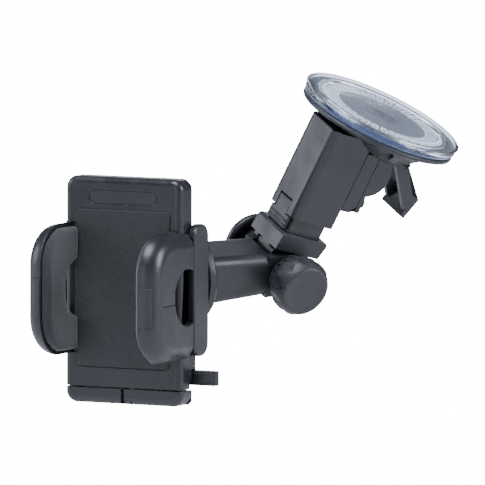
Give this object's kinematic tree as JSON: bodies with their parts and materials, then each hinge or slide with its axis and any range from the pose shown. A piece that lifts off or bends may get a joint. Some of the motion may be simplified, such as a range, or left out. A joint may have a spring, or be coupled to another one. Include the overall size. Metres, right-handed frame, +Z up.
{
  "type": "car phone mount",
  "caption": "Windshield phone mount with a clear suction base, telescoping post, elbow arm, swivel ball and a cradle with padded sliding jaws and swing-out feet.",
  "frame": {"origin": "centre of the suction cup's face, which meets the glass", "axes": "the cradle stands upright: +Z is up along the phone, +X is to the right across the jaws and -Y is the way the phone's screen faces"},
  "size_m": [0.1468, 0.1969, 0.1508],
  "materials": {
    "black_plastic": "fine satin grain",
    "charcoal_plastic": "satin",
    "grey_plastic": "satin",
    "pad_rubber": "fine pebble grain",
    "foam_rubber": "closed-cell foam skin",
    "clear_vinyl": "clear, glossy",
    "steel": "zinc plated",
    "brass_insert": "turned"
  },
  "bodies": {
    "suction_base": {"suction_cup": "clear_vinyl", "backing_disc": "grey_plastic", "base_housing": "black_plastic", "base_screws": "steel", "suction_lever_pin": "steel"},
    "stud": {"suction_stud": "steel"},
    "suction_lever_body": {"suction_lever": "black_plastic"},
    "sleeve": {"outer_sleeve": "black_plastic", "sleeve_cap": "black_plastic", "near_pivot_cap": "black_plastic", "far_pivot_cap": "black_plastic", "pivot_pin": "steel", "pivot_cap_screws": "steel", "latch_pin": "steel"},
    "latch": {"telescope_latch": "charcoal_plastic"},
    "post": {"inner_tube": "charcoal_plastic", "elbow_collar": "black_plastic", "collar_screw": "steel"},
    "arm_body": {"arm": "black_plastic", "friction_washers": "grey_plastic", "elbow_bolt": "steel", "rear_cap": "black_plastic"},
    "knob": {"elbow_knob": "charcoal_plastic", "knob_insert": "brass_insert"},
    "ring": {"lock_ring": "black_plastic"},
    "seat": {"ball_seat": "pad_rubber"},
    "ball": {"swivel_ball": "black_plastic"},
    "cradle": {"ball_stud": "steel", "ball_screw": "steel", "stud_screws": "steel", "rear_housing": "black_plastic", "front_cover": "black_plastic", "grip_pad": "pad_rubber", "housing_screws": "steel", "pinion_pin": "steel", "jaw_spring": "steel", "pawl_pin": "steel", "pawl_spring": "steel", "foot_pins": "steel"},
    "jaw_right": {"jaw_slide_right": "black_plastic", "jaw_shell_right": "black_plastic", "jaw_pad_right": "foam_rubber", "jaw_clip_right": "charcoal_plastic"},
    "jaw_left": {"jaw_slide_left": "black_plastic", "jaw_shell_left": "black_plastic", "jaw_pad_left": "foam_rubber", "jaw_clip_left": "charcoal_plastic"},
    "jaw_pinion": {"pinion": "grey_plastic"},
    "release": {"release_lever": "black_plastic"},
    "pawl_body": {"pawl": "steel"},
    "foot_r": {"foot_right": "black_plastic"},
    "foot_l": {"foot_left": "black_plastic"}
  },
  "joints": [
    {"name": "suction_lever_turn", "type": "hinge", "parent": "suction_base", "child": "suction_lever_body", "pos_m": [0.00119, 0.00768, -0.01931], "axis": [0.7809, -0.4945, -0.3818], "range_deg": [0, 55]},
    {"name": "stud_slide", "type": "slide", "parent": "suction_base", "child": "stud", "axis": [-0.4551, -0.0316, -0.8899], "range_m": [0, 0.0024]},
    {"name": "base_pivot", "type": "hinge", "parent": "suction_base", "child": "sleeve", "pos_m": [-0.01414, -0.00551, -0.02179], "axis": [0.7809, -0.4945, -0.3818], "range_deg": [0, 50]},
    {"name": "latch_rock", "type": "hinge", "parent": "sleeve", "child": "latch", "pos_m": [-0.03269, -0.03686, -0.04007], "axis": [-0.7809, 0.4945, 0.3818], "range_deg": [0, 10], "stiffness_Nm_per_rad": 0.02, "springref_deg": -11.46},
    {"name": "post_slide", "type": "slide", "parent": "sleeve", "child": "post", "axis": [-0.4551, -0.0316, -0.8899], "range_m": [0, 0.03]},
    {"name": "elbow_hinge", "type": "hinge", "parent": "post", "child": "arm_body", "pos_m": [-0.04268, -0.02815, -0.07179], "axis": [0.7809, -0.4945, -0.3818], "range_deg": [-12, 110]},
    {"name": "knob_turn", "type": "hinge", "parent": "arm_body", "child": "knob", "pos_m": [-0.02707, -0.03805, -0.07943], "axis": [0.7809, -0.4945, -0.3818], "continuous": true},
    {"name": "ring_turn", "type": "hinge", "parent": "arm_body", "child": "ring", "pos_m": [-0.07615, -0.07778, -0.07598], "axis": [0.5578, 0.827, 0.0698], "continuous": true},
    {"name": "ball_azimuth", "type": "hinge", "parent": "arm_body", "child": "seat", "pos_m": [-0.07615, -0.07778, -0.07598], "axis": [0.5578, 0.827, 0.0698], "continuous": true},
    {"name": "ball_tilt", "type": "hinge", "parent": "seat", "child": "ball", "pos_m": [-0.07615, -0.07778, -0.07598], "axis": [-0.1241, 0, 0.9923], "range_deg": [-68.4, 0]},
    {"name": "cradle_spin", "type": "hinge", "parent": "ball", "child": "cradle", "pos_m": [-0.07615, -0.07778, -0.07598], "axis": [0, 1, 0], "continuous": true},
    {"name": "jaw_right_slide", "type": "slide", "parent": "cradle", "child": "jaw_right", "axis": [1, 0, 0], "range_m": [0, 0.02]},
    {"name": "jaw_left_slide", "type": "slide", "parent": "cradle", "child": "jaw_left", "axis": [-1, 0, 0], "range_m": [0, 0.02]},
    {"name": "pinion_spin", "type": "hinge", "parent": "cradle", "child": "jaw_pinion", "pos_m": [-0.07615, -0.10698, -0.07798], "axis": [0, 1, 0], "range_deg": [0, 191.49]},
    {"name": "release_slide", "type": "slide", "parent": "cradle", "child": "release", "axis": [-1, 0, 0], "range_m": [0, 0.003], "stiffness_N_per_m": 180, "springref_m": -0.004},
    {"name": "pawl_hinge", "type": "hinge", "parent": "cradle", "child": "pawl_body", "pos_m": [-0.06415, -0.10698, -0.11398], "axis": [0, 1, 0], "range_deg": [0, 24.86]},
    {"name": "foot_right_swing", "type": "hinge", "parent": "cradle", "child": "foot_r", "pos_m": [-0.04975, -0.11542, -0.12798], "axis": [0, 0, 1], "range_deg": [0, 90]},
    {"name": "foot_left_swing", "type": "hinge", "parent": "cradle", "child": "foot_l", "pos_m": [-0.10255, -0.11542, -0.12798], "axis": [0, 0, -1], "range_deg": [0, 90]}
  ],
  "couplings": [
    {"joint": "suction_lever_turn", "follows": "stud_slide", "rad_per_m": 399.96},
    {"joint": "jaw_left_slide", "follows": "jaw_right_slide", "ratio": 1},
    {"joint": "pinion_spin", "follows": "jaw_right_slide", "rad_per_m": 166.67},
    {"joint": "pawl_hinge", "follows": "release_slide", "rad_per_m": 142.86}
  ]
}
